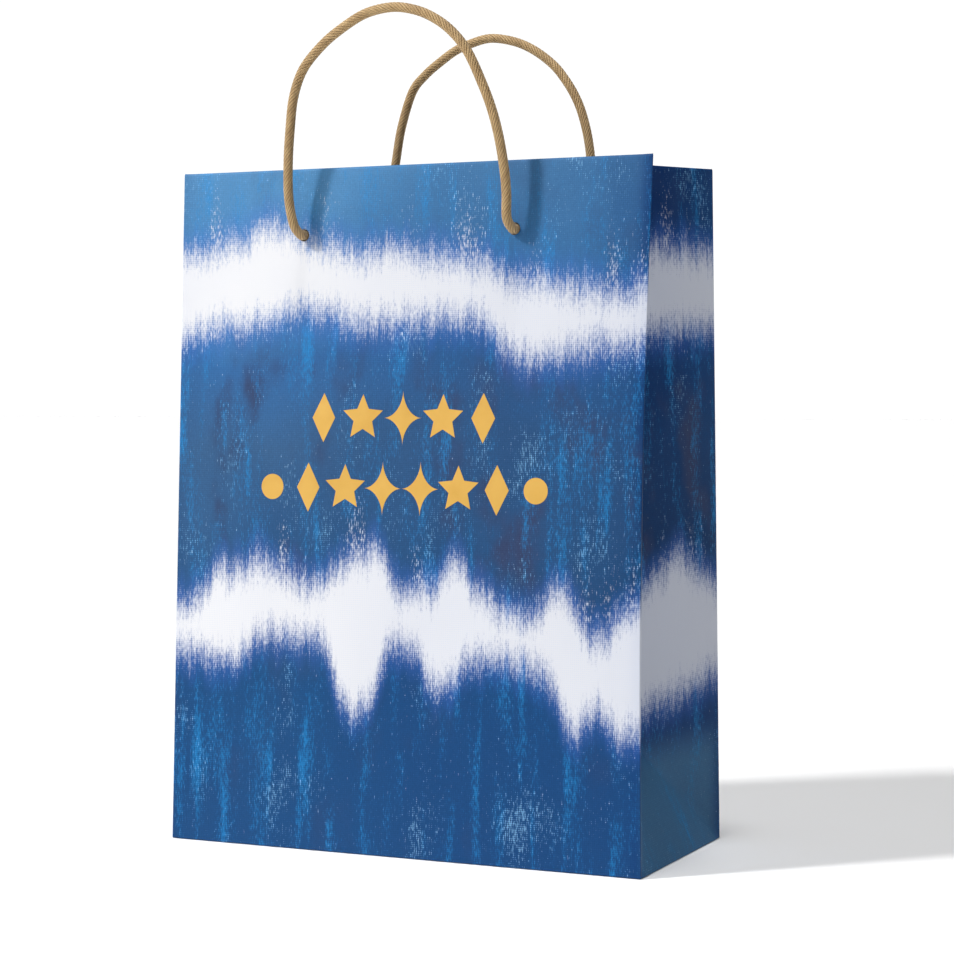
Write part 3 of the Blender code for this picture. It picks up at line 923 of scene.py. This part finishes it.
def foil_shape(bm, centre, outline):
    """One thin closed patch of foil in flat paper coordinates, in rings about its centre."""
    rings = []
    for depth, shares in ((FOIL_TOP, (0.3, 0.6, 0.85, 1.0)), (FOIL_FOOT, (1.0, 0.6))):
        for share in shares:
            rings.append([bm.verts.new((centre[0] + x * share, centre[1] + y * share, depth))
                          for x, y in outline])
    caps = [bm.verts.new((*centre, depth)) for depth in (FOIL_TOP, FOIL_FOOT)]
    count = len(outline)
    for i in range(count):
        j = (i + 1) % count
        bm.faces.new((caps[0], rings[0][i], rings[0][j]))
        bm.faces.new((caps[1], rings[-1][j], rings[-1][i]))
        for inner, outer in zip(rings, rings[1:]):
            bm.faces.new((inner[i], outer[i], outer[j], inner[j]))


def gold_motif():
    """Two centred rows of plain confetti shapes in gold foil on the front wall."""
    bm = bmesh.new()
    for share_down, width, shapes in FOIL_ROWS:
        up = WALL_LENGTH * (1 - share_down)
        for i, (outline, wide, tall) in enumerate(shapes):
            x = width * (i / (len(shapes) - 1) - 0.5)
            foil_shape(bm, (x, up), outline(wide, tall))
    obj = new_object("front_gold_motif", fold(mesh_from(bm, "front_gold_motif")), [FOIL])
    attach(obj, "front_wall")


gold_motif()


# ---------------------------------------------------------------- rope handles

def hinge_matrix(face):
    """From a wall's own frame, +Z up the wall and +Y into the bag, to the bag's frame."""
    turn = Matrix.Rotation(0 if face < 0 else math.pi, 4, "Z")
    tilt = Matrix.Rotation(-LEAN, 4, "X")
    return Matrix.Translation((0, face * HINGE_Y, HINGE_Z)) @ turn @ tilt


def even_route(points, step):
    """Evenly spaced points along a Catmull-Rom curve through the given points."""
    points = np.array([tuple(p) for p in points])
    ends = np.vstack([points[0] * 2 - points[1], points, points[-1] * 2 - points[-2]])
    fine = []
    for a, b, c, d in zip(ends, ends[1:], ends[2:], ends[3:]):
        for t in np.arange(CURVE_STEPS) / CURVE_STEPS:
            fine.append(0.5 * (2 * b + (c - a) * t + (2 * a - 5 * b + 4 * c - d) * t**2
                               + (3 * b - a - 3 * c + d) * t**3))
    fine = np.array(fine + [points[-1]])
    reach = np.concatenate([[0], np.cumsum(np.linalg.norm(np.diff(fine, axis=0), axis=1))])
    at = np.linspace(0, reach[-1], round(reach[-1] / step) + 1)
    return np.stack([np.interp(at, reach, fine[:, k]) for k in range(3)], axis=-1)


def tight_knot():
    """Centreline of an overhand knot pulled tight against the hem, and its hanging tail, in
    a wall's own axes from its hole: across, into the bag and up."""
    u = np.linspace(-KNOT_SPAN, KNOT_SPAN, KNOT_POINTS)
    x, y, z = u**3 - 3 * u, u**4 - 4 * u**2, (u**5 - 10 * u) / 4
    toward_hole, down = (y - x) / math.sqrt(2), (x + y) / math.sqrt(2)
    line = KNOT_SIZE * np.stack([z * KNOT_SQUASH, -toward_hole, -down], axis=-1)
    line += np.array([0, KNOT_START, 0]) - line[0]
    first, place = line[0].copy(), np.arange(KNOT_POINTS)
    far = np.abs(np.subtract.outer(place, place)) * KNOT_STEP > KNOT_NEAR
    start_step = np.linalg.norm(np.diff(line, axis=0), axis=1).mean()
    for turn in range(KNOT_TURNS):
        # Shorten the line, smooth it and let its free end hang
        pull = min(1.0, turn / (PULL_SHARE * KNOT_TURNS))
        step = start_step + (KNOT_STEP - start_step) * pull
        line[1:-1] += SMOOTHING * ((line[2:] + line[:-2]) / 2 - line[1:-1])
        line[-HANGING_POINTS:, 2] -= HANGING_PULL
        for _ in range(SWEEPS):
            # Bring every step to its length
            run = np.diff(line, axis=0)
            length = np.linalg.norm(run, axis=1, keepdims=True)
            fix = run * (1 - step / length) * 0.5
            line[:-1] += fix * STIFFNESS
            line[1:] -= fix * STIFFNESS
            # Push runs that touch apart, and keep the knot on the hem and the lead in its hole
            apart = line[:, None] - line[None]
            gap = np.linalg.norm(apart, axis=2) + 1e-9
            push = np.where(far, np.clip(KNOT_CONTACT - gap, 0, None), 0)
            line += PUSH * (apart / gap[..., None] * push[..., None]).sum(axis=1)
            line[5:, 1] = np.maximum(line[5:, 1], KNOT_START + ROPE_RADIUS)
            line[0] = first
            line[1] = first + np.array([0, step, 0])
    # Aim the lead straight into the bag, seat the knot on the hem and add the rest of the tail
    lead = Vector(line[KNOT_LEAD] - line[2])
    line = line @ np.array(lead.rotation_difference(Vector((0, 1, 0))).to_matrix()).T
    line -= line[KNOT_LEAD] * (1, 0, 1)
    line[:, 1] += KNOT_START + ROPE_RADIUS - line[KNOT_ENTRY:, 1].min()
    line = list(line[np.argmax(line[:, 1] > KNOT_START):])
    heading = line[-1] - line[-2]
    for _ in range(TAIL_POINTS):
        heading = heading - (0, 0, TAIL_DROOP * KNOT_STEP)
        heading *= KNOT_STEP / np.linalg.norm(heading)
        line.append(line[-1] + heading)
    return np.array([(0, KNOT_START, 0)] + line)


KNOT = tight_knot()


def rope_mesh(name, centres, frames, turns, frayed=(False, False)):
    """A closed tube of twisted strands through the given rings, with frayed ends where asked."""
    count = STRANDS * STRAND_POINTS
    lap = np.arange(count) / count
    phase = lap * STRANDS % 1 - 0.5
    profile = 1 - GROOVE * np.abs(2 * phase) ** GROOVE_POWER
    bm = bmesh.new()
    rings = []
    for i, (centre, (side, other)) in enumerate(zip(centres, frames)):
        to_ends = (i, len(centres) - 1 - i)
        ends = [k for k, is_frayed in zip(to_ends, frayed) if is_frayed]
        spread = 1 + FRAY * max([math.exp(-k / FRAY_RINGS) for k in ends] + [0])
        angle = 2 * math.pi * lap + turns[i]
        ring = centre + ROPE_RADIUS * spread * profile[:, None] * (
            np.cos(angle)[:, None] * side + np.sin(angle)[:, None] * other)
        rings.append([bm.verts.new(p) for p in ring])
    layer = bm.loops.layers.uv.new("strand")
    for j, (low, high) in enumerate(zip(rings, rings[1:])):
        for i in range(count):
            k = (i + 1) % count
            face = bm.faces.new((low[i], low[k], high[k], high[i]))
            corners = ((i, j), (i + 1, j), (i + 1, j + 1), (i, j + 1))
            for loop, (column, row) in zip(face.loops, corners):
                loop[layer].uv = (column / count * ROPE_LAP, row * RING_STEP)
    for ring, centre, order in ((rings[0], centres[0], -1), (rings[-1], centres[-1], 1)):
        tip = bm.verts.new(centre)
        for i in range(count):
            bm.faces.new((ring[i], ring[(i + 1) % count], tip)[::order])
    mesh = mesh_from(bm, name)
    mesh.shade_smooth()
    mesh.set_sharp_from_angle(angle=STRAND_ANGLE)
    return new_object(name, mesh, [ROPE])


def carried_frames(centres):
    """Two directions across the rope at each ring, carried along it without twist."""
    run = np.gradient(centres, axis=0)
    run /= np.linalg.norm(run, axis=1, keepdims=True)
    side = np.cross(run[0], START_SIDE)
    frames = []
    for direction in run:
        side = side - direction * (side @ direction)
        side /= np.linalg.norm(side)
        frames.append((side, np.cross(direction, side)))
    return frames


def handle(face_name, face, outline):
    """One rope: a knotted end inside each hole, and the loop between its two bends."""
    joint_places = {joint["name"]: joint["pos_m"] for joint in frame["joints"]}
    first = Vector(joint_places[face_name + "_rope_bend"])
    second = Vector(joint_places[face_name + "_handle_swing"])
    wall = hinge_matrix(face)
    hole_height = HOLE_UP - HINGE_Z
    apex = max(up for _, up in outline)
    loop = [Vector((x, second.y + face * ARCH_LEAN * up / apex, second.z + up))
            for x, up in outline]

    def end(side):
        x = -face * side * HOLE_SPACING / 2
        knot = [wall @ Vector((x + side * across, inward, hole_height + rise))
                for across, inward, rise in KNOT[::-1]]
        stub = [wall @ Vector((x, inward, hole_height)) for inward in HOLE_STUB]
        return knot + stub + [Vector((side * HOLE_SPACING / 2, first.y, first.z))]

    left, right = end(-1), end(1)
    centres = even_route(left + loop + right[::-1], RING_STEP)
    frames = carried_frames(centres)
    turns = np.arange(len(centres)) * RING_STEP * 2 * math.pi / TWIST_PITCH
    middle = (first.z + second.z) / 2
    outward = face * centres[:, 1]
    beyond = np.where((outward > face * first.y) & (centres[:, 2] > middle))[0]
    cuts = {"left": (0, beyond[0] + 1), "right": (beyond[-1], len(centres))}
    for side_name, (low, high) in cuts.items():
        obj = rope_mesh(f"{face_name}_{side_name}_rope_end", centres[low:high], frames[low:high],
                        turns[low:high], (side_name == "left", side_name == "right"))
        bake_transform(obj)
        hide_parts(f"{face_name}_{side_name}_knot")
    low, high = beyond[0], beyond[-1] + 1
    obj = rope_mesh(face_name + "_rope_loop", centres[low:high], frames[low:high], turns[low:high])
    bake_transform(obj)
    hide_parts(face_name + "_handle", face_name + "_left_rope_bend",
                face_name + "_right_rope_bend")


handle("front", -1, FRONT_ARCH)
handle("back", 1, BACK_ARCH)


# ---------------------------------------------------------------- stage, lights and camera

floor_bm = bmesh.new()
bmesh.ops.create_grid(floor_bm, x_segments=4, y_segments=4, size=FLOOR_REACH)
floor = new_object("floor", mesh_from(floor_bm, "floor"), [floor_material()])
floor.location.z = -FLOOR_DROP


def light(name, kind, energy):
    data = bpy.data.lights.new(name, kind)
    data.energy = energy
    obj = bpy.data.objects.new(name, data)
    bpy.context.scene.collection.objects.link(obj)
    return obj, data


def sun(name, azimuth, elevation, strength, angle):
    """A soft distant light. azimuth 0 shines from the front, and it grows to the right."""
    obj, data = light(name, "SUN", strength)
    data.angle = math.radians(angle)
    turn, rise = math.radians(azimuth), math.radians(elevation)
    toward = Vector((math.sin(turn) * math.cos(rise), -math.cos(turn) * math.cos(rise),
                     math.sin(rise)))
    obj.rotation_euler = toward.to_track_quat("Z", "Y").to_euler()


def soft_box(name, place, target, size, power):
    """A square studio light at place, turned to target."""
    obj, data = light(name, "AREA", power)
    data.size = size
    obj.location = place
    obj.rotation_euler = (Vector(place) - Vector(target)).to_track_quat("Z", "Y").to_euler()


sun("key", -48, 38, 2.1, 6)
sun("overhead", 20, 84, 2.05, 14)
soft_box("soft_box", SOFT_BOX_PLACE, SOFT_BOX_TARGET, 0.35, 2.4)

world = bpy.data.worlds.new("studio")
bpy.context.scene.world = world
world.use_nodes = True
nodes, links = world.node_tree.nodes, world.node_tree.links
background = nodes["Background"]
background.inputs["Color"].default_value = (1, 1, 1, 1)
seen = nodes.new("ShaderNodeLightPath")
strength = nodes.new("ShaderNodeMapRange")
links.new(seen.outputs["Is Camera Ray"], strength.inputs["Value"])
strength.inputs["To Min"].default_value = BACKDROP_LIGHT
strength.inputs["To Max"].default_value = BACKDROP_SEEN
links.new(strength.outputs["Result"], background.inputs["Strength"])
bpy.context.scene.view_settings.view_transform = "Standard"

camera_data = bpy.data.cameras.new("camera")
camera_data.lens = FOCAL_LENGTH
camera_data.sensor_width = SENSOR_WIDTH
camera = bpy.data.objects.new("camera", camera_data)
bpy.context.scene.collection.objects.link(camera)
camera.location = CAMERA_PLACE
camera.rotation_euler = Vector(CAMERA_AIM).to_track_quat("-Z", "Y").to_euler()
bpy.context.scene.camera = camera
